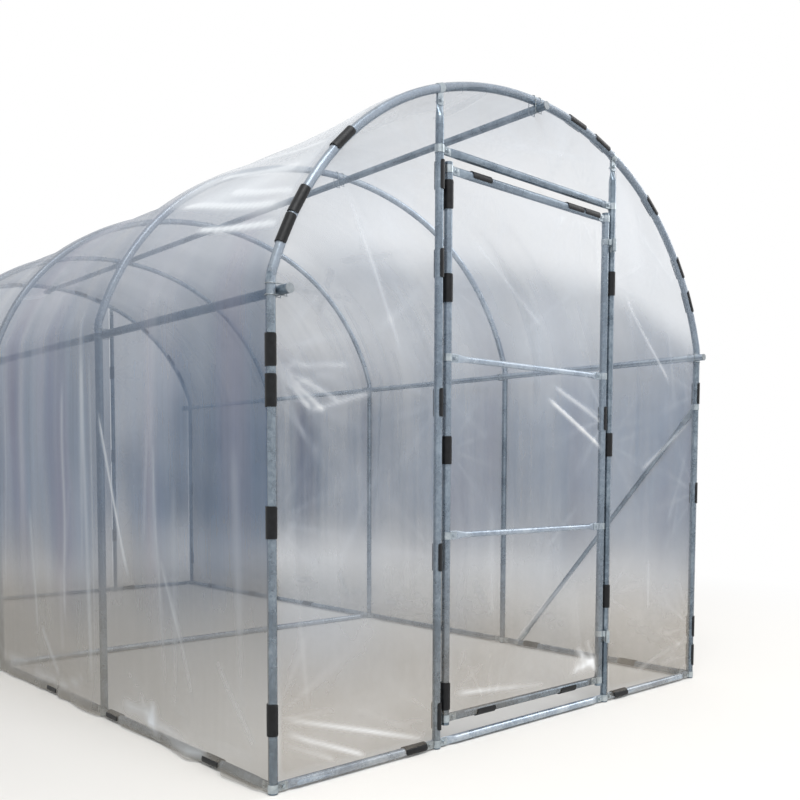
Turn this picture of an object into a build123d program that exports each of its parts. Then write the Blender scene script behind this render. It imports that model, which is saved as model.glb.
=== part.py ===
from build123d import *

import math
import os

# A walk-in tunnel greenhouse: galvanised tube hoops, a clear film cover and a hinged film door.
# Millimetres. X runs across, Y along with the door end at -Y, Z up. The origin is on the ground
# in the middle of the plan.

# Overall sizes, between tube centre lines
width = 2000.0
length = 4000.0
bays = 4
eave_height = 1270.0
apex_height = 1990.0
base_height = 15.0

# Hoop shape above the eave
eave_straight = 20.0
eave_bend_radius = 80.0
eave_lean = 18.0
crown_half_angle = 21.34
spigot_length = 60.0
spigot_shoulder = 5.0

# Steel tube
tube_diameter = 25.0
bar_diameter = 19.0
tube_wall = 1.2
tongue_width = 26.0
tongue_thickness = 4.4
tongue_length = 28.0
taper_length = 32.0

# Clearances
fit_gap = 0.3
slide_gap = 0.2
pin_gap = 0.1

# Band clamps and wire clamps
band_thickness = 1.3
band_height = 22.0
ear_thickness = 1.5
wire_diameter = 2.5

# Lengthwise rails
rail_gap = 0.5
rail_overhang = 45.0
cap_thickness = 3.0
cap_plug = 15.0

# Film
film_thickness = 1.5

# Spring clips
clip_length = 82.0
clip_thickness = 2.5
clip_clearance = 0.6
clip_half_opening = 60.0
clip_corner = 6.0

# Doorway, its gaps between tube centre lines
jamb_spacing = 840.0
lintel_height = 1744.0
door_side_gap = 36.5
door_top_gap = 49.0
door_bottom_gap = 70.0
stile_end = 20.0
crossbar_heights = (633.0, 1156.0)

# Door hinges, the low one measured up from the door's bottom rail, the high one down from its top rail
low_hinge_rise = 145.0
high_hinge_drop = 99.0
hinge_reach = 24.0
hinge_height = 20.0
pin_length = 35.0
pin_radius = 4.0
eye_radius = 8.0
arm_thickness = 4.0

# Wind brace, from the ground rail to the front right post
brace_foot = 100.0
brace_top_drop = 190.0

# Clip places: heights above the ground, and drops below the eave, the lintel or the door's top rail
left_post_clips = (192.0, 693.0)
left_post_drops = (248.0, 148.0)
right_post_clips = (94.0, 209.0, 742.0)
right_post_drops = (136.0,)
left_jamb_clips = (98.0, 571.0, 1023.0)
left_jamb_drops = (322.0, 72.0)
right_jamb_clips = (382.0, 919.0)
right_jamb_drops = (265.0,)
door_left_clips = (153.0, 885.0)
door_left_drops = (73.0,)
door_right_clips = (1010.0,)
upper_panel_clip_share = 0.37

# Clip places along a hoop, from its eave, and from the jamb towards the ridge
left_hoop_clips = (162.0, 250.0, 482.0)
right_hoop_clips = (226.0, 365.0, 642.0)
crown_clips = (79.0, 220.0)

# Clip places along the door's rails and the ground rails, there as bays out from the middle
# and the distance past that bay's hoop
door_top_clips = (-251.0, 203.0, 294.0)
door_bottom_clips = (-214.0, 198.0)
sill_clip_gap = 90.0
left_rail_clips = ((0, 576.0), (1, 85.0), (1, 709.0))
right_rail_clips = ((0, 576.0), (1, 185.0), (1, 709.0))

# Worked out from the sizes above
half_width = width / 2
half_length = length / 2
bay = length / bays
hoop_places = [-half_length + bay * i for i in range(bays + 1)]
inner_places = hoop_places[1:-1]
middle_place = hoop_places[bays // 2]
tube_radius = tube_diameter / 2
bar_radius = bar_diameter / 2
band_inner = tube_radius + fit_gap
band_outer = band_inner + band_thickness
tongue_clear = band_outer + fit_gap
ear_reach = tongue_clear + tongue_length
ear_offset = tongue_thickness / 2 + fit_gap + ear_thickness / 2
wire_radius = wire_diameter / 2
wire_centre = tube_radius + slide_gap + wire_radius
rail_drop = tube_diameter + rail_gap
rail_x = half_width - rail_drop
ridge_height = apex_height - rail_drop
rail_half = half_length + rail_overhang
film_edge = band_outer + fit_gap
cover_offset = wire_centre + wire_radius + fit_gap
clip_inner = tube_radius + clip_clearance
clip_outer = clip_inner + clip_thickness
film_bottom = base_height + clip_outer + 2 * fit_gap
cover_half = half_length - clip_outer - 2 * fit_gap
jamb_x = jamb_spacing / 2
stile_x = jamb_x - door_side_gap
door_bottom_height = base_height + door_bottom_gap
door_top_height = lintel_height - door_top_gap
hinge_heights = (door_bottom_height + low_hinge_rise, door_top_height - high_hinge_drop)
upper_panel = door_top_height - crossbar_heights[-1]
upper_panel_clip = crossbar_heights[-1] + upper_panel_clip_share * upper_panel
pivot_x = (jamb_x + stile_x) / 2
pivot_y = -half_length - hinge_reach
hinge_arm = math.hypot(jamb_x - pivot_x, hinge_reach)

# Hoop arcs: a short bend at the eave, the haunch and the crown, each tangent to the next.
# The haunch and crown radii follow from the span, the rise and the two angles.
crown_start = 90 - crown_half_angle
lean_cos = math.cos(math.radians(eave_lean))
lean_sin = math.sin(math.radians(eave_lean))
crown_cos = math.cos(math.radians(crown_start))
crown_sin = math.sin(math.radians(crown_start))
bend_x = half_width - eave_bend_radius
bend_z = eave_height + eave_straight
haunch_start_x = bend_x + eave_bend_radius * lean_cos
haunch_start_z = bend_z + eave_bend_radius * lean_sin
rise = apex_height - haunch_start_z
arc_share = (crown_cos - lean_cos) * (1 - crown_sin) + crown_cos * (crown_sin - lean_sin)
haunch_radius = (crown_cos * rise - (1 - crown_sin) * haunch_start_x) / arc_share
crown_radius = ((crown_cos - lean_cos) * rise + (crown_sin - lean_sin) * haunch_start_x) / arc_share
haunch_x = haunch_start_x - haunch_radius * lean_cos
haunch_z = haunch_start_z - haunch_radius * lean_sin
crown_z = apex_height - crown_radius

# Where a jamb or stud meets the hoop, on its crown or on its haunch
if jamb_x < crown_radius * crown_cos:
    arc_x, arc_z, arc_radius = 0, crown_z, crown_radius
else:
    arc_x, arc_z, arc_radius = haunch_x, haunch_z, haunch_radius
jamb_slope = math.asin((jamb_x - arc_x) / arc_radius)
jamb_hoop_z = arc_z + arc_radius * math.cos(jamb_slope)
jamb_clear = band_outer / math.cos(jamb_slope) + tongue_width / 2 * math.tan(jamb_slope) + fit_gap
jamb_top = jamb_hoop_z - jamb_clear

# Wind brace line, in the plane of the right wall
brace_start = Vector(half_width, -half_length + bay - brace_foot, base_height)
brace_end = Vector(half_width, -half_length, eave_height - brace_top_drop)
brace_way = (brace_end - brace_start).normalized()
brace_span = (brace_end - brace_start).length
brace_clear = tongue_clear + (tongue_clear + tongue_width / 2 * brace_way.Z) / -brace_way.Y


def hoop_line(outset, bottom):
    """Draws a hoop's line from foot to foot, moved outwards by outset, both legs down to bottom."""
    leg = half_width + outset
    bend = eave_bend_radius + outset
    haunch = haunch_radius + outset
    haunch_turn = crown_start - eave_lean
    Line((leg, bottom), (leg, bend_z))
    CenterArc((bend_x, bend_z), bend, 0, eave_lean)
    CenterArc((haunch_x, haunch_z), haunch, eave_lean, haunch_turn)
    CenterArc((0, crown_z), crown_radius + outset, crown_start, 180 - 2 * crown_start)
    CenterArc((-haunch_x, haunch_z), haunch, 180 - crown_start, haunch_turn)
    CenterArc((-bend_x, bend_z), bend, 180 - eave_lean, eave_lean)
    Line((-leg, bend_z), (-leg, bottom))


def hoop_face(outset, bottom, mode=Mode.ADD):
    """Fills the hoop's line moved outwards by outset."""
    leg = half_width + outset
    with BuildLine() as outline:
        hoop_line(outset, bottom)
        Line((-leg, bottom), (leg, bottom))
    make_face(outline.edges(), mode=mode)


def ring(outer, inner):
    """A tube's section."""
    Circle(outer)
    Circle(inner, mode=Mode.SUBTRACT)


def upright(x, y, top):
    """A plain round tube standing on the ground."""
    with BuildSketch(Plane.XY) as section:
        with Locations((x, y)):
            ring(tube_radius, tube_radius - tube_wall)
    extrude(section.sketch, amount=top)


def lengthwise_rail(x, z):
    """A plain round tube along the whole tunnel."""
    with BuildSketch(Plane.XZ.offset(-rail_half)) as section:
        with Locations((x, z)):
            ring(tube_radius, tube_radius - tube_wall)
    extrude(section.sketch, amount=2 * rail_half)


def hoop_arch(y):
    """A bent tube from eave to eave, each end drawn down to a spigot that fits inside its post."""
    bore = tube_radius - tube_wall
    spigot = bore - slide_gap
    feet = [(half_width, y), (-half_width, y)]
    with BuildLine(Plane.XZ.offset(-y)) as path:
        hoop_line(0, eave_height)
    with BuildSketch(Plane((half_width, y, eave_height))) as section:
        ring(tube_radius, bore)
    sweep(section.sketch, path=path.wire())
    with BuildSketch(Plane.XY.offset(eave_height)) as shoulder:
        with Locations(*feet):
            ring(tube_radius, spigot - tube_wall)
    extrude(shoulder.sketch, amount=spigot_shoulder)
    with BuildSketch(Plane.XY.offset(eave_height)) as end:
        with Locations(*feet):
            ring(spigot, spigot - tube_wall)
    extrude(end.sketch, amount=-spigot_length)


def flat_ended_tube(span, radius, both_ends):
    """A tube along X from the origin, pressed flat at its far end, the flat facing Z.
    With both_ends it is mirrored and span is half its length."""
    flat_start = span - tongue_length
    round_end = flat_start - taper_length
    with BuildPart() as tube:
        with BuildSketch(Plane.YZ):
            ring(radius, radius - tube_wall)
        extrude(amount=round_end)
        with BuildSketch(Plane.YZ.offset(round_end)):
            ring(radius, radius - tube_wall)
        with BuildSketch(Plane.YZ.offset(flat_start)):
            flat_section()
        loft()
        with BuildSketch(Plane.YZ.offset(flat_start)):
            flat_section()
        extrude(amount=tongue_length)
        if both_ends:
            mirror(about=Plane.YZ)
    return tube.part


def flat_section():
    """The section of a tube pressed flat, with the slit that is left inside."""
    Ellipse(tongue_width / 2, tongue_thickness / 2)
    Ellipse(tongue_width / 2 - tube_wall, tongue_thickness / 2 - tube_wall, mode=Mode.SUBTRACT)


def rail_between(spacing, radius=tube_radius, clear=tongue_clear):
    """A flat ended rail for posts that stand spacing apart."""
    return flat_ended_tube(spacing / 2 - clear, radius, True)


def across(x, y, z):
    """Places a rail along X, its flats upright."""
    return Plane((x, y, z), x_dir=(1, 0, 0), z_dir=(0, 1, 0))


def along(x, y, z):
    """Places a rail along Y, its flats upright."""
    return Plane((x, y, z), x_dir=(0, 1, 0), z_dir=(1, 0, 0))


def band_clamp(ways, reach=ear_reach, height=band_height):
    """A strap round a tube on Z, with a pair of ears along each direction in ways."""
    with BuildPart() as clamp:
        Cylinder(band_outer, height)
        for way in ways:
            face = Vector(0, 0, 1).cross(Vector(*way)).normalized()
            for side in (-1, 1):
                with Locations(Plane((0, 0, 0), x_dir=way, z_dir=face).offset(side * ear_offset)):
                    Box(reach, height, ear_thickness, align=(Align.MIN, Align.CENTER, Align.CENTER))
        Cylinder(band_inner, 2 * reach, mode=Mode.SUBTRACT)
    return clamp.part


def wire_clamp():
    """A bent wire that ties a rail on Y, inside, to a tube on Z: outwards is +X."""
    inner_end = -rail_drop - wire_centre
    with BuildPart() as clamp:
        for level in (-wire_centre, wire_centre):
            with Locations((0, 0, level)):
                Torus(wire_centre, wire_radius, major_angle=180, rotation=(0, 0, -90), align=None)
            for side in (-wire_centre, wire_centre):
                with BuildSketch(Plane.YZ):
                    with Locations((side, level)):
                        Circle(wire_radius)
                extrude(amount=inner_end)
        with BuildSketch(Plane.XY.offset(-wire_centre - wire_radius)):
            with Locations((inner_end, -wire_centre), (inner_end, wire_centre)):
                Circle(wire_radius)
        extrude(amount=2 * (wire_centre + wire_radius))
    return clamp.part


def spring_clip():
    """A C-shaped plastic clip round a tube on Z, open towards +X, its lips rounded."""
    wedge = clip_outer + clip_thickness
    spread = wedge * math.tan(math.radians(clip_half_opening))

    def across_lip(edge):
        return edge.length < 2 * clip_thickness

    with BuildPart() as clip:
        with BuildSketch():
            ring(clip_outer, clip_inner)
            Polygon((0, 0), (wedge, -spread), (wedge, spread), align=None, mode=Mode.SUBTRACT)
        extrude(amount=clip_length / 2, both=True)
        lips = clip.edges().filter_by(GeomType.LINE).filter_by(across_lip)
        fillet(lips, clip_corner)
    return clip.part


def on_post(x, y, opening, heights, top=0, drops=()):
    """Places for clips on an upright tube, open towards opening, at heights and at drops below top."""
    levels = [*heights, *[top - drop for drop in drops]]
    return [Plane((x, y, z), x_dir=opening, z_dir=(0, 0, 1)) for z in levels]


def on_hoop(y, side, distances):
    """Places for clips along a hoop from its eave, open inwards, side -1 left and 1 right."""
    places = []
    for distance in distances:
        share = distance / hoop_path.length
        if side < 0:
            share = 1 - share
        point = hoop_path @ share
        way = hoop_path % share
        inwards = Vector(way.Z, 0, -way.X)
        if inwards.dot(Vector(point.X, 0, point.Z - eave_height)) > 0:
            inwards = -inwards
        places.append(Plane((point.X, y, point.Z), x_dir=inwards, z_dir=way))
    return places


def write(builder, name):
    """Labels a finished piece and writes its file."""
    builder.part.label = name
    export_step(builder.part, f"parts/{name}.step")


os.makedirs("parts", exist_ok=True)

with BuildLine(Plane.XZ) as hoop_centre:
    hoop_line(0, eave_height)
hoop_path = hoop_centre.wire()
crown_half = math.radians(crown_half_angle)
jamb_from_ridge = crown_radius * min(jamb_slope, crown_half) + haunch_radius * max(0, jamb_slope - crown_half)
jamb_from_eave = hoop_path.length / 2 - jamb_from_ridge
full_hoop_clips = (*right_hoop_clips, *[jamb_from_eave + distance for distance in crown_clips])

clip_shape = spring_clip()
wire_shape = wire_clamp()
bay_rail = rail_between(bay)
tie_rail = rail_between(width)
gable_rail = rail_between(half_width - jamb_x)
opening_rail = rail_between(jamb_spacing)
jamb_tube = flat_ended_tube(jamb_top, tube_radius, False)

# Posts
for side, name in ((-1, "front_left_post"), (1, "front_right_post")):
    with BuildPart() as post:
        upright(side * half_width, -half_length, eave_height)
    write(post, name)

with BuildPart() as rear_posts:
    for side in (-1, 1):
        upright(side * half_width, half_length, eave_height)
write(rear_posts, "rear_posts")

for side, name in ((-1, "left_side_posts"), (1, "right_side_posts")):
    with BuildPart() as posts:
        for y in inner_places:
            upright(side * half_width, y, eave_height)
    write(posts, name)

# Arches
for name, places in (
    ("front_arch", hoop_places[:1]),
    ("inner_arches", inner_places),
    ("rear_arch", hoop_places[-1:]),
):
    with BuildPart() as arch:
        for y in places:
            hoop_arch(y)
    write(arch, name)

# Ridge and eave rails
for name, x, z in (
    ("ridge_purlin", 0, ridge_height),
    ("left_eave_rail", -rail_x, eave_height),
    ("right_eave_rail", rail_x, eave_height),
):
    with BuildPart() as rail:
        lengthwise_rail(x, z)
    write(rail, name)

with BuildPart() as rail_end_caps:
    for end in (-1, 1):
        face = end * rail_half
        with BuildSketch(Plane.XZ.offset(-face)):
            with Locations((0, ridge_height), (-rail_x, eave_height), (rail_x, eave_height)):
                Circle(tube_radius)
        extrude(amount=-end * cap_thickness)
        with BuildSketch(Plane.XZ.offset(-face)):
            with Locations((0, ridge_height), (-rail_x, eave_height), (rail_x, eave_height)):
                Circle(tube_radius - tube_wall - slide_gap)
        extrude(amount=end * cap_plug)
write(rail_end_caps, "rail_end_caps")

# Ground rails
for side, name in ((-1, "left_base_rail"), (1, "right_base_rail")):
    with BuildPart() as rail:
        with Locations(*[along(side * half_width, y + bay / 2, base_height) for y in hoop_places[:-1]]):
            add(bay_rail)
    write(rail, name)

for y, name in ((-half_length, "front_base_rail"), (half_length, "rear_base_rail")):
    with BuildPart() as rail:
        with Locations(*[across(side * (half_width + jamb_x) / 2, y, base_height) for side in (-1, 1)]):
            add(gable_rail)
        with Locations(across(0, y, base_height)):
            add(opening_rail)
    write(rail, name)

with BuildPart() as middle_base_tie:
    with Locations(across(0, middle_place, base_height)):
        add(tie_rail)
write(middle_base_tie, "middle_base_tie")

# Door jambs, lintel and rear studs
for side, name in ((-1, "left_door_jamb"), (1, "right_door_jamb")):
    with BuildPart() as jamb:
        with Locations(Plane((side * jamb_x, -half_length, 0), x_dir=(0, 0, 1), z_dir=(0, 1, 0))):
            add(jamb_tube)
    write(jamb, name)

with BuildPart() as door_lintel:
    with Locations(across(0, -half_length, lintel_height)):
        add(opening_rail)
write(door_lintel, "door_lintel")

with BuildPart() as rear_studs:
    for side in (-1, 1):
        with Locations(Plane((side * jamb_x, half_length, 0), x_dir=(0, 0, 1), z_dir=(0, 1, 0))):
            add(jamb_tube)
write(rear_studs, "rear_studs")

# Wind brace
brace_tube = rail_between(brace_span, bar_radius, brace_clear)
with BuildPart() as wind_brace:
    with Locations(Plane((brace_start + brace_end) / 2, x_dir=brace_way, z_dir=(1, 0, 0))):
        add(brace_tube)
write(wind_brace, "wind_brace")

brace_ear_reach = brace_clear + tongue_length
post_end_clamp = band_clamp([(-brace_way.Y, 0, -brace_way.Z)], brace_ear_reach)
rail_end_clamp = band_clamp([(brace_way.Z, 0, brace_way.Y)], brace_ear_reach)
with BuildPart() as brace_clamps:
    with Locations(Plane(brace_end, x_dir=(0, 1, 0), z_dir=(0, 0, 1))):
        add(post_end_clamp)
    with Locations(Plane(brace_start, x_dir=(0, 0, 1), z_dir=(0, 1, 0))):
        add(rail_end_clamp)
write(brace_clamps, "brace_clamps")

# Band clamps at the ground rails
east, west, north, south = (1, 0, 0), (-1, 0, 0), (0, 1, 0), (0, -1, 0)
with BuildPart() as base_clamps:
    for side, inwards in ((-1, east), (1, west)):
        for y in hoop_places:
            ways = []
            if y > -half_length:
                ways.append(south)
            if y < half_length:
                ways.append(north)
            if y in (-half_length, middle_place, half_length):
                ways.append(inwards)
            clamp = band_clamp(ways)
            with Locations((side * half_width, y, base_height)):
                add(clamp)
        through_clamp = band_clamp([east, west])
        for y in (-half_length, half_length):
            with Locations((side * jamb_x, y, base_height)):
                add(through_clamp)
write(base_clamps, "base_clamps")

# Band clamps at the lintel and where the jambs and studs meet the hoops
with BuildPart() as jamb_clamps:
    for side, inwards in ((-1, east), (1, west)):
        lintel_clamp = band_clamp([inwards])
        with Locations((side * jamb_x, -half_length, lintel_height)):
            add(lintel_clamp)
        slope_x = side * math.sin(jamb_slope)
        slope_z = math.cos(jamb_slope)
        hoop_clamp = band_clamp([(slope_z, 0, slope_x)], jamb_clear + tongue_length)
        for y in (-half_length, half_length):
            with Locations(
                Plane(
                    (side * jamb_x, y, jamb_hoop_z),
                    x_dir=(-slope_x, 0, -slope_z),
                    z_dir=(slope_z, 0, -slope_x),
                )
            ):
                add(hoop_clamp)
write(jamb_clamps, "jamb_clamps")

# Wire clamps where the rails cross the hoops
with BuildPart() as rail_clamps:
    for y in hoop_places:
        with Locations(
            Plane((0, y, apex_height), x_dir=(0, 0, 1), z_dir=(1, 0, 0)),
            Plane((-half_width, y, eave_height), x_dir=(-1, 0, 0), z_dir=(0, 0, 1)),
            Plane((half_width, y, eave_height), x_dir=(1, 0, 0), z_dir=(0, 0, 1)),
        ):
            add(wire_shape)
write(rail_clamps, "rail_clamps")

# Hinge pins on the right jamb, and the door's eyes that sit on them
jamb_arm_way = (pivot_x - jamb_x, -hinge_reach, 0)
stile_arm_way = (pivot_x - stile_x, -hinge_reach, 0)
arm_box = (Align.MIN, Align.CENTER, Align.CENTER)
with BuildPart() as hinge_brackets:
    for z in hinge_heights:
        with Locations((jamb_x, -half_length, z), (pivot_x, pivot_y, z)):
            Cylinder(eye_radius, hinge_height)
        with Locations((jamb_x, -half_length, z)):
            Cylinder(band_outer, hinge_height)
        with Locations(Plane((jamb_x, -half_length, z), x_dir=jamb_arm_way, z_dir=(0, 0, 1))):
            Box(hinge_arm, arm_thickness, hinge_height, align=arm_box)
        with Locations((jamb_x, -half_length, z)):
            Cylinder(band_inner, 2 * hinge_height, mode=Mode.SUBTRACT)
        with Locations((pivot_x, pivot_y, z)):
            Cylinder(pin_radius, pin_length, align=(Align.CENTER, Align.CENTER, Align.MIN))
write(hinge_brackets, "hinge_brackets")

eye_rise = hinge_height + 2 * fit_gap
with BuildPart() as door_hinge_eyes:
    for height in hinge_heights:
        z = height + eye_rise
        with Locations((pivot_x, pivot_y, z)):
            Cylinder(eye_radius, hinge_height)
        with Locations((stile_x, -half_length, z)):
            Cylinder(band_outer, hinge_height)
        with Locations(Plane((stile_x, -half_length, z), x_dir=stile_arm_way, z_dir=(0, 0, 1))):
            Box(hinge_arm, arm_thickness, hinge_height, align=arm_box)
        with Locations((stile_x, -half_length, z)):
            Cylinder(band_inner, 2 * hinge_height, mode=Mode.SUBTRACT)
        with Locations((pivot_x, pivot_y, z)):
            Cylinder(pin_radius + pin_gap, 2 * hinge_height, mode=Mode.SUBTRACT)
write(door_hinge_eyes, "door_hinge_eyes")

# Clips on the door end's corner posts and hoop
with BuildPart() as gable_clips:
    with Locations(
        *on_post(-half_width, -half_length, east, left_post_clips, eave_height, left_post_drops),
        *on_post(half_width, -half_length, west, right_post_clips, eave_height, right_post_drops),
        *on_hoop(-half_length, -1, left_hoop_clips),
        *on_hoop(-half_length, 1, full_hoop_clips),
    ):
        add(clip_shape)
write(gable_clips, "gable_clips")

with BuildPart() as jamb_clips:
    with Locations(
        *on_post(-jamb_x, -half_length, west, left_jamb_clips, lintel_height, left_jamb_drops),
        *on_post(jamb_x, -half_length, east, right_jamb_clips, lintel_height, right_jamb_drops),
    ):
        add(clip_shape)
write(jamb_clips, "jamb_clips")

# Clips on the ground rails, open downwards
with BuildPart() as base_clips:
    for x, places in ((-half_width, left_rail_clips), (half_width, right_rail_clips)):
        for number, distance in places:
            y = number * bay + distance
            with Locations(
                Plane((x, y, base_height), x_dir=(0, 0, -1), z_dir=(0, 1, 0)),
                Plane((x, -y, base_height), x_dir=(0, 0, -1), z_dir=(0, 1, 0)),
            ):
                add(clip_shape)
    for x in (-jamb_x - sill_clip_gap, jamb_x + sill_clip_gap):
        for y in (-half_length, half_length):
            with Locations(Plane((x, y, base_height), x_dir=(0, 0, -1), z_dir=(1, 0, 0))):
                add(clip_shape)
write(base_clips, "base_clips")

# Clips on the rear end repeat the door end's
with BuildPart() as rear_clips:
    with Locations(
        *on_post(-half_width, half_length, east, left_post_clips, eave_height, left_post_drops),
        *on_post(half_width, half_length, west, left_post_clips, eave_height, left_post_drops),
        *on_hoop(half_length, -1, full_hoop_clips),
        *on_hoop(half_length, 1, full_hoop_clips),
        *on_post(-jamb_x, half_length, west, right_jamb_clips, lintel_height, right_jamb_drops),
        *on_post(jamb_x, half_length, east, right_jamb_clips, lintel_height, right_jamb_drops),
    ):
        add(clip_shape)
write(rear_clips, "rear_clips")

# Film over the hoops, one sheet from ground to ground
with BuildPart() as main_cover:
    with BuildSketch(Plane.XZ):
        hoop_face(cover_offset + film_thickness, film_bottom)
        hoop_face(cover_offset, film_bottom, mode=Mode.SUBTRACT)
    extrude(amount=cover_half, both=True)
write(main_cover, "main_cover")


def rail_notches():
    """Leaves room round the rails that pass through an end."""
    with Locations((-rail_x, eave_height), (rail_x, eave_height), (0, ridge_height)):
        Circle(tube_radius + fit_gap, mode=Mode.SUBTRACT)


# Film in the ends, between the jambs or studs and the hoop
side_film_width = half_width - jamb_x - 2 * film_edge
side_film_x = (half_width + jamb_x) / 2
middle_film_width = jamb_spacing - 2 * film_edge
for side, name in ((-1, "front_film_left"), (1, "front_film_right")):
    with BuildPart() as film:
        with BuildSketch(Plane.XZ.offset(half_length)):
            hoop_face(-film_edge, film_bottom)
            with Locations((side * side_film_x, eave_height)):
                Rectangle(side_film_width, 2 * eave_height, mode=Mode.INTERSECT)
            rail_notches()
        extrude(amount=film_thickness / 2, both=True)
    write(film, name)

top_film_bottom = lintel_height + film_edge
with BuildPart() as front_film_top:
    with BuildSketch(Plane.XZ.offset(half_length)):
        hoop_face(-film_edge, film_bottom)
        with Locations((0, top_film_bottom)):
            Rectangle(middle_film_width, apex_height, align=(Align.CENTER, Align.MIN), mode=Mode.INTERSECT)
        rail_notches()
    extrude(amount=film_thickness / 2, both=True)
write(front_film_top, "front_film_top")

with BuildPart() as rear_film:
    with BuildSketch(Plane.XZ.offset(-half_length)):
        hoop_face(-film_edge, film_bottom)
        with Locations((-jamb_x, eave_height), (jamb_x, eave_height)):
            Rectangle(2 * (clip_outer + fit_gap), 2 * eave_height, mode=Mode.SUBTRACT)
        rail_notches()
    extrude(amount=film_thickness / 2, both=True)
write(rear_film, "rear_film")

# Door leaf
with BuildPart() as door_stiles:
    with BuildSketch(Plane.XY.offset(door_bottom_height - stile_end)):
        with Locations((-stile_x, -half_length), (stile_x, -half_length)):
            ring(tube_radius, tube_radius - tube_wall)
    extrude(amount=door_top_height - door_bottom_height + 2 * stile_end)
write(door_stiles, "door_stiles")

door_rail = rail_between(2 * stile_x)
crossbar = rail_between(2 * stile_x, bar_radius)
with BuildPart() as door_rails:
    with Locations(*[across(0, -half_length, z) for z in (door_bottom_height, door_top_height)]):
        add(door_rail)
write(door_rails, "door_rails")

with BuildPart() as door_crossbars:
    with Locations(*[across(0, -half_length, z) for z in crossbar_heights]):
        add(crossbar)
write(door_crossbars, "door_crossbars")

with BuildPart() as door_clamps:
    for side, inwards in ((-1, east), (1, west)):
        stile_clamp = band_clamp([inwards])
        with Locations(
            *[
                (side * stile_x, -half_length, z)
                for z in (door_bottom_height, *crossbar_heights, door_top_height)
            ]
        ):
            add(stile_clamp)
write(door_clamps, "door_clamps")

top_rail = Plane((0, -half_length, door_top_height), x_dir=(0, 0, -1), z_dir=(1, 0, 0))
bottom_rail = Plane((0, -half_length, door_bottom_height), x_dir=(0, 0, 1), z_dir=(1, 0, 0))
with BuildPart() as door_clips:
    with Locations(
        *on_post(-stile_x, -half_length, east, door_left_clips, door_top_height, door_left_drops),
        *on_post(-stile_x, -half_length, east, [upper_panel_clip]),
        *on_post(stile_x, -half_length, west, door_right_clips),
        *[top_rail.offset(x) for x in door_top_clips],
        *[bottom_rail.offset(x) for x in door_bottom_clips],
    ):
        add(clip_shape)
write(door_clips, "door_clips")

door_film_height = door_top_height - door_bottom_height - 2 * film_edge
door_film_middle = (door_top_height + door_bottom_height) / 2
with BuildPart() as door_film:
    with BuildSketch(Plane.XZ.offset(half_length + bar_radius + fit_gap)):
        with Locations((0, door_film_middle)):
            Rectangle(2 * (stile_x - film_edge), door_film_height)
    extrude(amount=film_thickness)
write(door_film, "door_film")
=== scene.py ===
import math

import bpy
import numpy as np
from mathutils import Matrix, Vector, noise


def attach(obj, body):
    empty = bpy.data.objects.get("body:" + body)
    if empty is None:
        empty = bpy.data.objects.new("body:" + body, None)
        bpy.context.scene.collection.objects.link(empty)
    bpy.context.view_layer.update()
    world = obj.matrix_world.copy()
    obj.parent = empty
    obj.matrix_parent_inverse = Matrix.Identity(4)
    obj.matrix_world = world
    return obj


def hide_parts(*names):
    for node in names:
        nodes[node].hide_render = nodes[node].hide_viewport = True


# Tunnel greenhouse: galvanised tube hoops under clear film. Metres, door end at -Y, Z up.

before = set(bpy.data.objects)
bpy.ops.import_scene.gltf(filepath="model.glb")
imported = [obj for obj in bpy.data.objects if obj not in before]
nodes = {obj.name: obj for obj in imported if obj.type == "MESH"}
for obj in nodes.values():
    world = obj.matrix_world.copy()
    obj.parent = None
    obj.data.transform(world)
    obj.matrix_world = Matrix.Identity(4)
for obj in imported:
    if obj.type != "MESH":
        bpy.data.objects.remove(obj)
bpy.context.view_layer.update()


def toLinear(hexValue):
    channels = [int(hexValue[i:i + 2], 16) / 255 for i in (1, 3, 5)]
    return tuple(c / 12.92 if c <= 0.04045 else ((c + 0.055) / 1.055) ** 2.4 for c in channels) + (1.0,)


def linkInputs(tree, node, links):
    # links: input -> (node, output)
    for name, source in links.items():
        tree.links.new(source[0].outputs[source[1]], node.inputs[name])


def addNode(tree, kind, settings=None, links=None):
    # settings: a node's own property or the value of an input
    node = tree.nodes.new(kind)
    for name, value in (settings or {}).items():
        if isinstance(name, str) and hasattr(node, name):
            setattr(node, name, value)
        else:
            node.inputs[name].default_value = value
    linkInputs(tree, node, links or {})
    return node


def seenRays(tree):
    # 1 for what the camera sees, also in metal or through glass, and 0 for light on matt surfaces
    rays = addNode(tree, "ShaderNodeLightPath")
    links = {0: (rays, "Is Camera Ray"), 1: (rays, "Is Glossy Ray")}
    seen = addNode(tree, "ShaderNodeMath", {"operation": "MAXIMUM"}, links)
    links = {0: (seen, 0), 1: (rays, "Is Transmission Ray")}
    return addNode(tree, "ShaderNodeMath", {"operation": "MAXIMUM"}, links)


def setRamp(node, stops):
    # stops: place and hex colour of each
    ramp = node.color_ramp
    while len(ramp.elements) > 1:
        ramp.elements.remove(ramp.elements[-1])
    for i, (place, hexValue) in enumerate(stops):
        element = ramp.elements[0] if i == 0 else ramp.elements.new(place)
        element.position = place
        element.color = toLinear(hexValue)


def newMaterial(name):
    material = bpy.data.materials.new(name)
    material.use_nodes = True
    tree = material.node_tree
    return material, tree, tree.nodes["Principled BSDF"]


def finishPiece(piece, body, material):
    piece.data.materials.clear()
    piece.data.materials.append(material)
    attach(piece, body)


cameraLook = {
    "place": (-2.2888, -3.9124, 0.8214),
    "right": (0.73996, -0.67264, 0.00373),
    "up": (0.03745, 0.04673, 0.99821),
    "lens": 41.06,
    "shift": (-0.0059, 0.158),
    "clipStart": 0.05,
}

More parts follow.
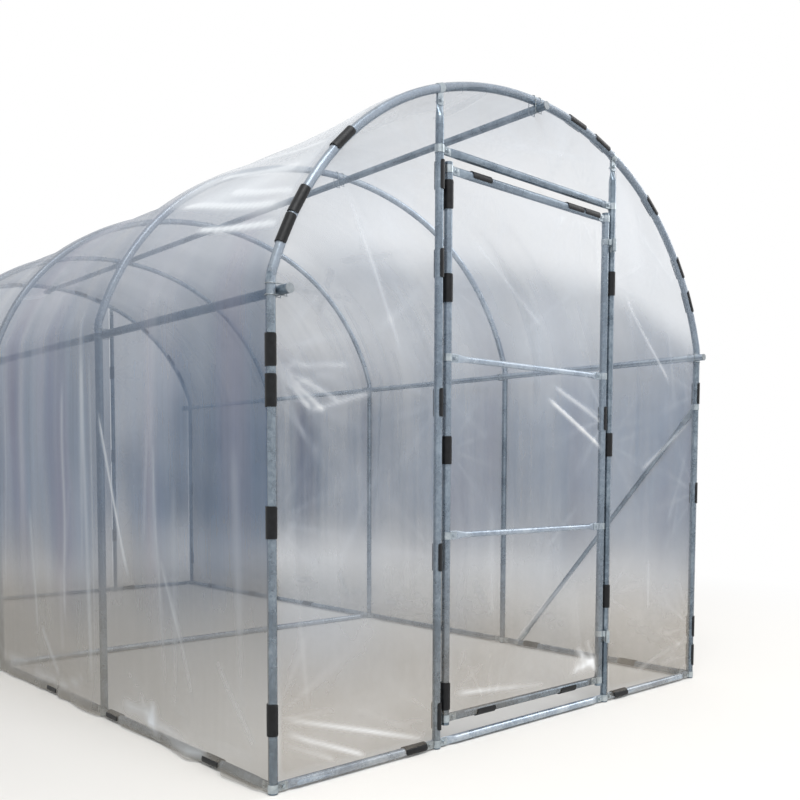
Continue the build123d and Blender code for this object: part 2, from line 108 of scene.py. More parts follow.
cameraData = bpy.data.cameras.new("camera")
camera = bpy.data.objects.new("camera", cameraData)
bpy.context.scene.collection.objects.link(camera)
right = Vector(cameraLook["right"]).normalized()
up = Vector(cameraLook["up"])
up = (up - right * up.dot(right)).normalized()
axes = Matrix((right, up, right.cross(up))).transposed()
camera.matrix_world = Matrix.Translation(cameraLook["place"]) @ axes.to_4x4()
cameraData.lens = cameraLook["lens"]
cameraData.shift_x, cameraData.shift_y = cameraLook["shift"]
cameraData.clip_start = cameraLook["clipStart"]
bpy.context.scene.camera = camera
bpy.context.scene.view_settings.view_transform = "Standard"

studio = {
    "ambient": 0.62,       # what the white surroundings give to matt surfaces
    "keyPower": 240,
    "keyPlace": (-1.6, -4.4, 5.6),
    "fillPower": 80,
    "fillPlace": (4.5, -3.0, 3.8),
    "lightSize": 3.0,
    "lightAim": (0, 0, 0.8),
    "floorHex": "#EFEDE9",
    "floorRough": 0.9,
    "floorRadius": 14,
    "floorFade": (1.9, 4.6),        # between these distances the floor fades to white
}

world = bpy.data.worlds.new("studio")
bpy.context.scene.world = world
world.use_nodes = True
tree = world.node_tree
tree.nodes.clear()
power = addNode(tree, "ShaderNodeMapRange", {3: studio["ambient"], 4: 1.0}, {0: (seenRays(tree), 0)})
glow = addNode(tree, "ShaderNodeBackground", {"Color": (1, 1, 1, 1)}, {"Strength": (power, 0)})
addNode(tree, "ShaderNodeOutputWorld", None, {"Surface": (glow, 0)})

for name, place, watts in (
    ("keyLight", studio["keyPlace"], studio["keyPower"]),
    ("fillLight", studio["fillPlace"], studio["fillPower"]),
):
    lightData = bpy.data.lights.new(name, "AREA")
    lightData.energy = watts
    lightData.size = studio["lightSize"]
    light = bpy.data.objects.new(name, lightData)
    bpy.context.scene.collection.objects.link(light)
    light.location = place
    light.rotation_euler = (Vector(studio["lightAim"]) - Vector(place)).to_track_quat("-Z", "Y").to_euler()

bpy.ops.object.select_all(action="DESELECT")
bpy.ops.mesh.primitive_circle_add(
    vertices=96, radius=studio["floorRadius"], fill_type="NGON", location=(0, 0, -0.001))
floor = bpy.context.object
floor.name = "studioFloor"
floorMaterial, tree, shader = newMaterial("matt floor paint")  # pale and plain, fades to the white surroundings
shader.inputs["Base Color"].default_value = toLinear(studio["floorHex"])
shader.inputs["Roughness"].default_value = studio["floorRough"]
place = addNode(tree, "ShaderNodeTexCoord")
distance = addNode(tree, "ShaderNodeVectorMath", {"operation": "LENGTH"}, {0: (place, "Object")})
near, far = studio["floorFade"]
settings = {"interpolation_type": "SMOOTHSTEP", 1: near, 2: far}
fade = addNode(tree, "ShaderNodeMapRange", settings, {0: (distance, "Value")})
share = addNode(tree, "ShaderNodeMath", {"operation": "MULTIPLY"}, {0: (fade, 0), 1: (seenRays(tree), 0)})
white = addNode(tree, "ShaderNodeEmission", {"Color": (1, 1, 1, 1), "Strength": 1.0})
mix = addNode(tree, "ShaderNodeMixShader", None, {0: (share, 0), 1: (shader, 0), 2: (white, 0)})
tree.links.new(mix.outputs[0], tree.nodes["Material Output"].inputs["Surface"])
floor.data.materials.append(floorMaterial)
print("stage: camera, light and floor done")


grainDepth = 0.0006


def metalMaterial(name, look):
    # zinc: flakes of slightly different grey, duller patches and a fine grain
    material, tree, shader = newMaterial(name)
    place = {"Vector": (addNode(tree, "ShaderNodeTexCoord"), "Object")}
    flakes = addNode(tree, "ShaderNodeTexVoronoi", {"Scale": 1000 / look["flakeMm"]}, place)
    flakeGrey = addNode(tree, "ShaderNodeSeparateColor", None, {0: (flakes, "Color")})
    settings = {"Scale": 1000 / look["cloudMm"], "Detail": 5, "Roughness": 0.6}
    clouds = addNode(tree, "ShaderNodeTexNoise", settings, place)
    settings = {"operation": "MULTIPLY_ADD", 1: look["flakeShare"]}
    tone = addNode(tree, "ShaderNodeMath", settings, {0: (flakeGrey, 0), 2: (clouds, 0)})
    ramp = addNode(tree, "ShaderNodeValToRGB", None, {0: (tone, 0)})
    setRamp(ramp, [(0.35, look["darkHex"]), (0.55, look["midHex"]), (0.8, look["lightHex"])])
    settings = {1: 0.3, 2: 0.8, 3: look["rough"][0], 4: look["rough"][1]}
    rough = addNode(tree, "ShaderNodeMapRange", settings, {0: (clouds, 0)})
    grain = addNode(tree, "ShaderNodeTexNoise", {"Scale": 1000 / look["grainMm"], "Detail": 3}, place)
    settings = {"Strength": look["bump"], "Distance": grainDepth}
    bump = addNode(tree, "ShaderNodeBump", settings, {"Height": (grain, 0)})
    shader.inputs["Metallic"].default_value = look["metallic"]
    linkInputs(tree, shader, {"Base Color": (ramp, 0), "Roughness": (rough, 0), "Normal": (bump, 0)})
    return material


tubeLook = {
    "flakeMm": 7, "cloudMm": 90, "grainMm": 3, "flakeShare": 0.18,
    "metallic": 0.82, "rough": (0.22, 0.38), "bump": 0.25,
    "darkHex": "#58646F", "midHex": "#6E7B87", "lightHex": "#8F9CA7",
}
# a lighter copy of the tube's grey: a painted highlight
highlitTubeLook = {
    "flakeMm": 7, "cloudMm": 90, "grainMm": 3, "flakeShare": 0.16,
    "metallic": 0.82, "rough": (0.22, 0.36), "bump": 0.22,
    "darkHex": "#8591A0", "midHex": "#A3AEBA", "lightHex": "#C2CBD3",
}
fittingLook = {
    "flakeMm": 4, "cloudMm": 30, "grainMm": 2, "flakeShare": 0.1,
    "metallic": 0.85, "rough": (0.26, 0.4), "bump": 0.2,
    "darkHex": "#8A949B", "midHex": "#A6B0B6", "lightHex": "#C2C9CC",
}
wireLook = {
    "flakeMm": 2, "cloudMm": 20, "grainMm": 1, "flakeShare": 0.1,
    "metallic": 0.9, "rough": (0.28, 0.42), "bump": 0.15,
    "darkHex": "#7E8488", "midHex": "#989FA3", "lightHex": "#B4B9BC",
}
galvanisedTube = metalMaterial("hot dip galvanised steel tube", tubeLook)   # satin blue grey with faint flakes
highlitTube = metalMaterial("highlighted galvanised steel tube", highlitTubeLook)          # the same tube in a lighter grey: a painted highlight on the arches, rails and crossbars
zincFitting = metalMaterial("bright zinc plated steel strap", fittingLook)  # paler and shinier than the tube
zincWire = metalMaterial("zinc plated spring wire", wireLook)


def plasticMaterial(name, look):
    # moulded polymer: even colour with a little dust in patches and a fine mould grain
    material, tree, shader = newMaterial(name)
    place = {"Vector": (addNode(tree, "ShaderNodeTexCoord"), "Object")}
    settings = {"Scale": 1000 / look["dustMm"], "Detail": 4, "Roughness": 0.65}
    dust = addNode(tree, "ShaderNodeTexNoise", settings, place)
    ramp = addNode(tree, "ShaderNodeValToRGB", None, {0: (dust, 0)})
    setRamp(ramp, [(0.4, look["hex"]), (0.72, look["dustHex"])])
    settings = {1: 0.3, 2: 0.7, 3: look["rough"][0], 4: look["rough"][1]}
    rough = addNode(tree, "ShaderNodeMapRange", settings, {0: (dust, 0)})
    grain = addNode(tree, "ShaderNodeTexNoise", {"Scale": 1000 / look["grainMm"], "Detail": 2}, place)
    settings = {"Strength": look["bump"], "Distance": grainDepth}
    bump = addNode(tree, "ShaderNodeBump", settings, {"Height": (grain, 0)})
    shader.inputs["IOR"].default_value = look["ior"]
    shader.inputs["Specular IOR Level"].default_value = look["shine"]
    linkInputs(tree, shader, {"Base Color": (ramp, 0), "Roughness": (rough, 0), "Normal": (bump, 0)})
    return material


clipLook = {
    "hex": "#0C0D10", "dustHex": "#1B1D20", "dustMm": 14, "grainMm": 1.5,
    "ior": 1.49, "shine": 0.28, "rough": (0.38, 0.55), "bump": 0.3,
}
capLook = {
    "hex": "#8D949A", "dustHex": "#7B8288", "dustMm": 12, "grainMm": 1.2,
    "ior": 1.51, "shine": 0.5, "rough": (0.42, 0.56), "bump": 0.3,
}
blackClip = plasticMaterial("moulded black polypropylene", clipLook)   # satin black, slightly dusty
greyCap = plasticMaterial("moulded grey polyethylene", capLook)

hardNodes = {
    blackClip: ["base_clips", "door_clips", "gable_clips", "jamb_clips", "rear_clips"],
    # the arches, rails, tie and crossbars get the lighter tube: a painted highlight
    highlitTube: ["inner_arches", "rear_arch", "right_eave_rail", "middle_base_tie", "front_base_rail", "door_crossbars"],
    zincFitting: ["base_clamps", "brace_clamps", "door_clamps", "jamb_clamps", "door_hinge_eyes", "hinge_brackets"],
    zincWire: ["rail_clamps"],
    greyCap: ["rail_end_caps"],
}
filmNodes = ["main_cover", "front_film_left", "front_film_right", "front_film_top", "rear_film", "door_film"]
nodeMaterials = {name: material for material, names in hardNodes.items() for name in names}
for name, node in nodes.items():
    node.data.materials.clear()
    if name not in filmNodes:
        node.data.materials.append(nodeMaterials.get(name, galvanisedTube))
print("stage: hard materials done")


def filmMaterial(name, look):
    # blown polyethylene film: see-through, with a thin milky veil in pulled streaks; whiter along its creases, a white
    # that is partly the folded film and partly a painted highlight
    material, tree, shader = newMaterial(name)
    flat = {"Vector": (addNode(tree, "ShaderNodeUVMap", {"uv_map": "flatSheet"}), 0)}       # metres along the sheet
    creaseAndGlare, haze, dust = [
        (addNode(tree, "ShaderNodeAttribute", {"attribute_name": label}), "Fac")
        for label in ("creaseAndGlare", "haze", "dust")]
    wide = addNode(tree, "ShaderNodeMapping", {"Scale": look["wide"]}, flat)
    narrow = addNode(tree, "ShaderNodeMapping", {"Scale": look["narrow"]}, flat)
    settings = {"Scale": 1.0, "Detail": 2, "Roughness": 0.5}
    bands = addNode(tree, "ShaderNodeTexNoise", settings, {"Vector": (wide, 0)})
    settings = {"Scale": 1.0, "Detail": 3, "Roughness": 0.6}
    streaks = addNode(tree, "ShaderNodeTexNoise", settings, {"Vector": (narrow, 0)})
    settings = {"Scale": 1000 / look["cloudMm"], "Detail": 4, "Roughness": 0.6}
    clouds = addNode(tree, "ShaderNodeTexNoise", settings, flat)
    settings = {"operation": "MULTIPLY_ADD", 1: look["streakShare"]}
    half = addNode(tree, "ShaderNodeMath", settings, {0: (streaks, 0), 2: (bands, 0)})
    settings = {"operation": "MULTIPLY_ADD", 1: look["cloudShare"]}
    both = addNode(tree, "ShaderNodeMath", settings, {0: (clouds, 0), 2: (half, 0)})
    middle = 0.5 * (1 + look["streakShare"] + look["cloudShare"])
    settings = {1: middle - look["spread"], 2: middle + look["spread"]}
    tone = addNode(tree, "ShaderNodeMapRange", settings, {0: (both, 0)})
    # how much of what is behind is hidden
    veil = addNode(tree, "ShaderNodeMapRange", {3: look["veil"][0], 4: look["veil"][1]}, {0: (tone, 0)})
    veiled = addNode(tree, "ShaderNodeMath", {"operation": "MULTIPLY"}, {0: (veil, 0), 1: haze})
    settings = {"operation": "MULTIPLY_ADD", 1: look["creaseVeil"], "use_clamp": True}
    solid = addNode(tree, "ShaderNodeMath", settings, {0: creaseAndGlare, 2: (veiled, 0)})
    # blue grey with paler streaks and, here and there, a faint mauve one
    settings = {"data_type": "RGBA", 6: toLinear(look["darkHex"]), 7: toLinear(look["lightHex"])}
    colour = addNode(tree, "ShaderNodeMix", settings, {0: (tone, 0)})
    hue = addNode(tree, "ShaderNodeMapRange", {1: 0.52, 2: 0.68, 4: look["mauve"]}, {0: (bands, 0)})
    settings = {"data_type": "RGBA", 7: toLinear(look["mauveHex"])}
    colour = addNode(tree, "ShaderNodeMix", settings, {0: (hue, 0), 6: (colour, 2)})
    # paler where it is clear, dusty near the ground, whitest on a crease: partly the folded film, partly a painted
    # highlight and painted glare
    clear = addNode(tree, "ShaderNodeMapRange", {1: look["pale"][0], 2: look["pale"][1]}, {0: haze})
    settings = {"data_type": "RGBA", 6: toLinear(look["paleHex"])}
    colour = addNode(tree, "ShaderNodeMix", settings, {0: (clear, 0), 7: (colour, 2)})
    for share, hexValue in ((dust, look["dustHex"]), (creaseAndGlare, look["creaseGlareHex"])):
        settings = {"data_type": "RGBA", 7: toLinear(hexValue)}
        colour = addNode(tree, "ShaderNodeMix", settings, {0: share, 6: (colour, 2)})
    settings = {"operation": "MULTIPLY_ADD", 1: look["creaseHeight"]}
    height = addNode(tree, "ShaderNodeMath", settings, {0: creaseAndGlare, 2: (streaks, 0)})
    settings = {"Strength": look["bump"], "Distance": look["bumpDepth"]}
    bump = addNode(tree, "ShaderNodeBump", settings, {"Height": (height, 0)})
    shader.inputs["Roughness"].default_value = look["rough"]
    shader.inputs["IOR"].default_value = look["ior"]
    linkInputs(tree, shader, {"Alpha": (solid, 0), "Base Color": (colour, 2), "Normal": (bump, 0)})
    return material


coverFilmLook = {
    "wide": (3.4, 0.35, 1.0), "narrow": (24.0, 0.9, 1.0), "cloudMm": 330,       # streaks a metre, both ways
    "streakShare": 0.45, "cloudShare": 0.5, "spread": 0.3,
    "veil": (0.68, 0.88), "creaseVeil": 0.4,
    "darkHex": "#364C66", "lightHex": "#667D9A", "mauve": 0.5, "mauveHex": "#675F78",
    # the crease colour is white partly as a painted highlight
    "pale": (0.35, 0.9), "paleHex": "#BFC7D1", "dustHex": "#9C968B", "creaseGlareHex": "#DCE2E8",
    "rough": 0.24, "ior": 1.51, "bump": 0.18, "bumpDepth": 0.003, "creaseHeight": 0.4,
}
endFilmLook = {
    "wide": (1.2, 0.6, 1.0), "narrow": (9.0, 1.2, 1.0), "cloudMm": 260,
    "streakShare": 0.4, "cloudShare": 0.7, "spread": 0.35,
    "veil": (0.12, 0.32), "creaseVeil": 0.55,
    "darkHex": "#98A8BD", "lightHex": "#C5D2E2", "mauve": 0.1, "mauveHex": "#B9B6C0",
    # the crease colour is white partly as a painted highlight
    "pale": (0.2, 0.5), "paleHex": "#DADDE0", "dustHex": "#9A9081", "creaseGlareHex": "#F2F4F6",
    "rough": 0.16, "ior": 1.51, "bump": 0.22, "bumpDepth": 0.003, "creaseHeight": 0.4,
}
coverFilm = filmMaterial("blown greenhouse film", coverFilmLook)
endFilm = filmMaterial("thin clear film", endFilmLook)


# centre line of every hoop
hoop = {"halfWidth": 1.0, "bendTop": 1.29, "bendRadius": 0.08, "leanDeg": 18, "crownRadius": 1.2, "apex": 1.99}


def hoopTable():
    # points and outward normals every millimetre or so along a hoop's centre line, left foot to right foot
    lean = math.radians(hoop["leanDeg"])
    bendX = hoop["halfWidth"] - hoop["bendRadius"]
    startX = bendX + hoop["bendRadius"] * math.cos(lean)
    startZ = hoop["bendTop"] + hoop["bendRadius"] * math.sin(lean)
    crownZ = hoop["apex"] - hoop["crownRadius"]
    drop = crownZ - startZ
    radius = (startX ** 2 + drop ** 2 - hoop["crownRadius"] ** 2) / (
        2 * (startX * math.cos(lean) - drop * math.sin(lean) - hoop["crownRadius"]))
    haunchX = startX - radius * math.cos(lean)
    haunchZ = startZ - radius * math.sin(lean)
    turn = math.atan2(haunchZ - crownZ, haunchX)
    rightSide = [(hoop["halfWidth"], z, 0.0) for z in np.linspace(0, hoop["bendTop"], 1300)]
    for centre, size, low, high, count in (
        ((bendX, hoop["bendTop"]), hoop["bendRadius"], 0.0, lean, 40),
        ((haunchX, haunchZ), radius, lean, turn, 700),
        ((0.0, crownZ), hoop["crownRadius"], turn, math.pi / 2, 900),
    ):
        for angle in np.linspace(low, high, count)[1:]:
            rightSide.append((centre[0] + size * math.cos(angle), centre[1] + size * math.sin(angle), angle))
    leftSide = [(-x, z, math.pi - angle) for x, z, angle in rightSide]
    rows = np.array(leftSide + rightSide[::-1][1:])
    steps = np.hypot(np.diff(rows[:, 0]), np.diff(rows[:, 1]))
    return np.concatenate([[0], np.cumsum(steps)]), rows


hoopReach, hoopRows = hoopTable()
hoopLength = float(hoopReach[-1])


def hoopAt(reach):
    # centre line point and outward normal at each distance from the left foot
    x = np.interp(reach, hoopReach, hoopRows[:, 0])
    z = np.interp(reach, hoopReach, hoopRows[:, 1])
    angle = np.interp(reach, hoopReach, hoopRows[:, 2])
    return x, z, np.cos(angle), np.sin(angle)


def reachAt(x):
    # distance from the left foot to where the left half of the hoop has this x
    half = len(hoopRows) // 2
    return np.interp(x, hoopRows[:half, 0], hoopReach[:half])


def roundHoop(centre, angle, radius):
    # a line of points beside the hoop: angle 0 is outwards, 90 degrees is along the tunnel
    x, z, nx, nz = centre
    out, along = radius * math.cos(angle), radius * math.sin(angle)
    return np.stack([x + nx * out, np.full_like(x, along), z + nz * out], -1)


def smooth(low, high, value):
    share = np.clip((value - low) / (high - low), 0, 1)
    return share * share * (3 - 2 * share)


def wave(a, b, scaleA, scaleB, seed):
    # smooth noise in -1..1 over two sheet directions
    flatA, flatB = np.ravel(a) * scaleA, np.ravel(b) * scaleB
    return np.array([noise.noise((p, q, seed)) for p, q in zip(flatA, flatB)]).reshape(np.shape(a)) * 2


def seam(a, b, start, end, width):
    # one long crease from start to end, fading at both ends
    run = np.array(end) - np.array(start)
    length = float(np.hypot(*run))
    along = ((a - start[0]) * run[0] + (b - start[1]) * run[1]) / length
    across = np.abs(-(a - start[0]) * run[1] + (b - start[1]) * run[0]) / length
    inside = smooth(-0.02, 0.1 * length, along) * (1 - smooth(0.85 * length, 1.02 * length, along))
    return np.exp(-(across / width) ** 2) * inside


def scattered(a, b, look):
    # short straight creases at random places, mostly the same way
    chance = np.random.default_rng(look["seed"])
    lines = np.zeros(np.shape(a))
    for i in range(look["count"]):
        start = np.array([chance.uniform(*look["spanA"]), chance.uniform(*look["spanB"])])
        angle = math.radians(chance.normal(look["angle"], look["turn"]))
        run = chance.uniform(*look["length"]) * np.array([math.cos(angle), math.sin(angle)])
        depth = chance.uniform(0.25, 1)
        lines = np.maximum(lines, depth * seam(a, b, start, start + run, chance.uniform(*look["width"])))
    return look["strength"] * lines


clipFan = {"reach": 0.11, "count": 11}


def fan(a, b, centre, direction):
    # creases that spread from a clip
    away, side = a - centre[0], b - centre[1]
    along = away * direction[0] + side * direction[1]
    across = -away * direction[1] + side * direction[0]
    distance = np.hypot(away, side) + 1e-6
    rays = np.clip(np.cos(clipFan["count"] * np.arctan2(across, along) + 3 * centre[1]), 0, 1) ** 3
    fading = np.exp(-distance / clipFan["reach"])
    return rays * fading * smooth(0.0, 0.05, distance) * smooth(-0.2, 0.5, along / distance)


def bandHaze(z, top):
    # densest at half height, thinner over the eaves and thinnest above top
    upper = 0.24 * smooth(1.0, 1.5, z) + 0.28 * smooth(top - 0.11, top + 0.09, z)
    return 1.0 - upper - 0.35 * (1 - smooth(0.25, 0.6, z))


def sheetMesh(name, points, flat, creaseAndGlare, haze, keep=None):
    # points, flat, creases with the painted glare, and haze are grids; keep says which of their faces there are
    height = points[..., 2] + 0.06 * wave(flat[..., 0], flat[..., 1], 3.0, 3.0, 90)
    dust = 0.95 * (1 - smooth(0.15, 0.75, height))
    rows, columns = points.shape[:2]
    index = np.arange(rows * columns).reshape(rows, columns)
    faces = np.stack([index[:-1, :-1], index[1:, :-1], index[1:, 1:], index[:-1, 1:]], -1).reshape(-1, 4)
    if keep is not None:
        faces = faces[keep.reshape(-1)]
    mesh = bpy.data.meshes.new(name)
    mesh.from_pydata(points.reshape(-1, 3).tolist(), [], faces.tolist())
    uv = mesh.uv_layers.new(name="flatSheet")
    corners = np.empty(len(mesh.loops), np.int32)
    mesh.loops.foreach_get("vertex_index", corners)
    uv.data.foreach_set("uv", flat.reshape(-1, 2)[corners].astype(np.float32).ravel())
    for label, values in (("creaseAndGlare", creaseAndGlare), ("haze", haze), ("dust", dust)):
        attribute = mesh.attributes.new(label, "FLOAT", "POINT")
        attribute.data.foreach_set("value", np.clip(values, 0, 2).astype(np.float32).ravel())
    mesh.shade_smooth()
    piece = bpy.data.objects.new(name, mesh)
    bpy.context.scene.collection.objects.link(piece)
    bpy.ops.object.select_all(action="DESELECT")
    piece.select_set(True)
    bpy.context.view_layer.objects.active = piece
    if keep is not None:
        bpy.ops.object.mode_set(mode="EDIT")
        bpy.ops.mesh.select_all(action="SELECT")
        bpy.ops.mesh.delete_loose()
        bpy.ops.object.mode_set(mode="OBJECT")
    return piece


# Film over the hoops
cover = {
    "steps": ((0.004, 1.36, 56), (1.36, 1.98, 60), (1.98, 5.2, 124)),    # along the hoop: from, to, how many
    "stepsY": 390,
    "end": 2.0,
    "nearEnd": (1.984, 1.992),
    "outset": 0.0163,               # from the hoop's centre line
    "underClip": 0.0128,
    "bottom": 0.004,
    "lowest": 0.0015,               # above the ground, where it flares
    "sag": 0.014,
    "wallWave": 0.004,
    "bulge": 0.006,
    "creaseDepth": 0.0035,
    "flare": (0.008, 0.012),        # over the ground rails, between clips: least, and how much it varies
    "pleats": (0.0016, 0.055),      # on the end tubes: height and spacing
    "hoopPlaces": (-2.0, -1.0, 0.0, 1.0, 2.0),
    "leftClips": (-1.709, -1.085, -0.576, 0.576, 1.085, 1.709),
    "rightClips": (-1.709, -1.185, -0.576, 0.576, 1.185, 1.709),
    "wrapDeg": 118,
    "hemHaze": (0.08, 0.35),        # at the foot, and how much more above the eaves
    # painted glare over the first bay of the roof: how strong it is, and the line where it starts
    "paintedGlare": 0.55,
    "glareLine": (1.49, -1.84, 0.32),       # where it starts: along the hoop, along the tunnel, slope
    # the dusty band on the walls reaches higher towards the rear: places along the tunnel and heights
    "bandPlaces": (-2.0, -1.8, -1.6, -1.0, 0.0, 2.0),
    "bandTops": (1.35, 1.55, 1.68, 1.78, 1.95, 2.1),
    "seed": 3.7,
    # short creases: on the two walls, over the roof, and in the hem by the ground rails
    "creases": (
        {"seed": 11, "count": 30, "spanA": (0.1, 0.9), "spanB": (-1.95, 1.95), "angle": 0, "turn": 4,
         "length": (0.3, 0.9), "width": (0.007, 0.02), "strength": 0.28},
        {"seed": 12, "count": 30, "spanA": (3.0, 3.9), "spanB": (-1.95, 1.95), "angle": 0, "turn": 4,
         "length": (0.3, 0.9), "width": (0.007, 0.02), "strength": 0.28},
        {"seed": 13, "count": 26, "spanA": (1.3, 3.9), "spanB": (-1.95, 1.7), "angle": 70, "turn": 25,
         "length": (0.12, 0.5), "width": (0.009, 0.014), "strength": 0.3},
        {"seed": 14, "count": 26, "spanA": (0.01, 0.1), "spanB": (-1.95, 1.7), "angle": 75, "turn": 18,
         "length": (0.06, 0.25), "width": (0.010, 0.016), "strength": 0.4},
        {"seed": 15, "count": 26, "spanA": (5.05, 5.14), "spanB": (-1.95, 1.7), "angle": 105, "turn": 18,
         "length": (0.06, 0.25), "width": (0.010, 0.016), "strength": 0.4},
    ),
    # long creases: start and end (along the hoop, along the tunnel), width, strength
    "seams": (
        ((1.023, -1.016), (0.474, -1.231), 0.008, 0.7),
        ((1.226, -0.890), (0.079, -0.940), 0.016, 0.3),
        ((1.226, -0.962), (0.079, -0.975), 0.008, 0.35),
        ((0.086, -1.155), (0.016, -1.742), 0.016, 0.5),
        ((0.110, -1.362), (0.032, -1.360), 0.024, 0.6),
        ((0.55, -1.45), (0.16, -1.62), 0.009, 0.3),
        ((0.30, -1.75), (0.10, -1.95), 0.012, 0.3),
        ((1.445, -1.98), (1.552, -1.46), 0.011, 1.3),     # from here on, glare on the first bay of the roof
        ((1.520, -1.93), (1.725, -1.19), 0.010, 0.8),
        ((1.546, -1.98), (1.690, -1.53), 0.010, 0.8),
        ((1.669, -1.90), (1.860, -1.25), 0.011, 0.8),
        ((1.750, -1.95), (1.900, -1.45), 0.010, 0.5),
    ),
}


def coverHaze(x, z, sGrid, yGrid):
    # densest on the walls from knee height to just over the eaves, thin on the roof, paler at the foot
    mottled = 0.5 * wave(sGrid, yGrid, 1.3, 1.7, cover["seed"] + 50)
    edge = 0.05 * wave(sGrid, yGrid, 0.5, 1.5, cover["seed"] + 55)
    top = np.interp(yGrid, cover["bandPlaces"], cover["bandTops"]) + edge
    haze = bandHaze(z, top) + 0.12 * mottled
    haze = haze + (1 - smooth(-0.2, 0.6, x)) * (1 - smooth(1.2, 1.7, z)) * (0.26 * smooth(-1.1, -0.9, yGrid) - 0.06)
    haze = haze + 0.1 * smooth(0.2, 0.7, x) * smooth(-1.0, 0.6, yGrid) * (1 - smooth(1.4, 1.6, z))
    haze = haze + 0.16 * (1 - smooth(-0.5, -0.1, x)) * smooth(1.4, 1.6, z) * smooth(-1.05, -0.9, yGrid)
    return haze - 0.2 * smooth(0.0, 0.5, x) * smooth(top - 0.1, top + 0.1, z)


def coverHem(s, side, turns):
    # the film's edge round an end tube: side -1 door end, 1 rear
    x, z, nx, nz = hoopAt(s)
    wrap = cover["underClip"]
    fray = 0.25 * wave(s, s * 0, 4.0, 1.0, 70 + side)
    lines = []
    for i, angle in enumerate(turns):
        turned = angle * (1 + fray * (i / len(turns)) ** 2)
        y = side * cover["end"] + side * wrap * np.sin(turned)
        lines.append(np.stack([x + nx * wrap * np.cos(turned), y, z + nz * wrap * np.cos(turned)], -1))
    return np.stack(lines, 1)


def makeCover():
    look = cover
    end, underClip = look["end"], look["underClip"]
    s = [np.linspace(low, high, count, endpoint=False) for low, high, count in look["steps"]]
    s = np.concatenate(s + [[look["steps"][-1][1]]])
    s = look["bottom"] + (s - s[0]) * (hoopLength - 2 * look["bottom"]) / (s[-1] - s[0])
    inner, outer = look["nearEnd"]
    y = np.concatenate([[-end, -outer], np.linspace(-inner, inner, look["stepsY"] + 1), [outer, end]])
    sGrid, yGrid = np.meshgrid(s, y, indexing="ij")
    x, z, nx, nz = hoopAt(sGrid)
    fromHoop = np.min([np.abs(yGrid - place) for place in look["hoopPlaces"]], axis=0)
    free = smooth(0.02, 0.3, fromHoop)
    roof = smooth(1.25, 1.6, z)
    rise = np.minimum(sGrid, hoopLength - sGrid)
    # sag between hoops, upright folds on the walls, a broad bulge
    body = -look["sag"] * free * (0.35 + 0.65 * roof)
    folds = wave(sGrid, yGrid, 0.9, 9.0, look["seed"])
    body += look["wallWave"] * free * (1 - roof) * folds * smooth(0.05, 0.4, rise)
    body += look["bulge"] * free * wave(sGrid, yGrid, 2.2, 2.6, look["seed"] + 4)
    lines = sum(scattered(sGrid, yGrid, creases) for creases in look["creases"])
    for start, finish, width, strength in look["seams"]:
        lines += strength * seam(sGrid, yGrid, start, finish, width)
    # painted glare: the film made whiter from a slanting line up to the ridge in the first bay
    startS, startY, slope = look["glareLine"]
    slant = sGrid - startS - slope * (yGrid - startY)
    paintedGlare = smooth(-0.01, 0.05, slant) * (1 - smooth(-1.16, -1.0, yGrid)) * (1 - smooth(1.9, 2.8, sGrid))
    lines = lines + look["paintedGlare"] * paintedGlare * (1 + 0.25 * wave(sGrid, yGrid, 14.0, 1.2, look["seed"] + 60))
    lines *= smooth(0.008, 0.05, fromHoop)
    # creases, with the painted glare and painted highlights of the roof among them
    creaseAndGlare = np.clip(lines, 0, 1)
    offset = look["outset"] + body + look["creaseDepth"] * creaseAndGlare * free
    # held under the clips on the ground rails, loose and slightly flared between them
    low = 1 - smooth(0.02, 0.09, rise)
    held = [
        np.max([1 - smooth(0.045, 0.1, np.abs(yGrid - place)) for place in look[side]], axis=0)
        for side in ("leftClips", "rightClips")]
    held = np.where(x < 0, *held)
    least, more = look["flare"]
    flare = least + more * (0.5 + 0.5 * wave(sGrid * 0, yGrid, 1.0, 6.0, look["seed"] + 40))
    offset = offset + low * (flare * (1 - held) - (offset - underClip) * held)
    # drawn in to the end tubes, with short pleats
    toEnd = np.minimum(yGrid + end, end - yGrid)
    ends = 1 - smooth(0.016, 0.07, toEnd)
    high, spacing = look["pleats"]
    pleats = high * (0.5 + 0.5 * np.cos(sGrid * 2 * math.pi / spacing + 2.5 * wave(sGrid, yGrid, 3, 0, 60)))
    offset = offset * (1 - ends) + (underClip + pleats * smooth(0.016, 0.05, toEnd)) * ends
    points = np.stack([x + nx * offset, yGrid, z + nz * offset], -1)
    points[..., 2] = np.maximum(points[..., 2], look["lowest"])
    # the hems that go round the end tubes
    turns = np.radians(np.linspace(0, look["wrapDeg"], 9)[1:])
    points = np.concatenate([coverHem(s, -1, turns)[:, ::-1], points, coverHem(s, 1, turns)], 1)
    yFlat = np.concatenate([-end - underClip * turns[::-1], y, end + underClip * turns])
    flat = np.stack(np.meshgrid(yFlat, s, indexing="xy"), -1)
    pad = len(turns)
    creaseAndGlare = np.pad(creaseAndGlare, ((0, 0), (pad, pad)), constant_values=0.08)
    haze = np.pad(coverHaze(x, z, sGrid, yGrid), ((0, 0), (pad, pad)))
    atFoot, more = look["hemHaze"]
    for columns in (slice(0, pad), slice(-pad, None)):
        haze[:, columns] = (atFoot + more * smooth(1.2, 1.4, z[:, 0]))[:, None]
    piece = sheetMesh("mainCover", points, flat, creaseAndGlare, haze)
    finishPiece(piece, "frame", coverFilm)
    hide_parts("main_cover")


makeCover()
print("stage: cover film done")

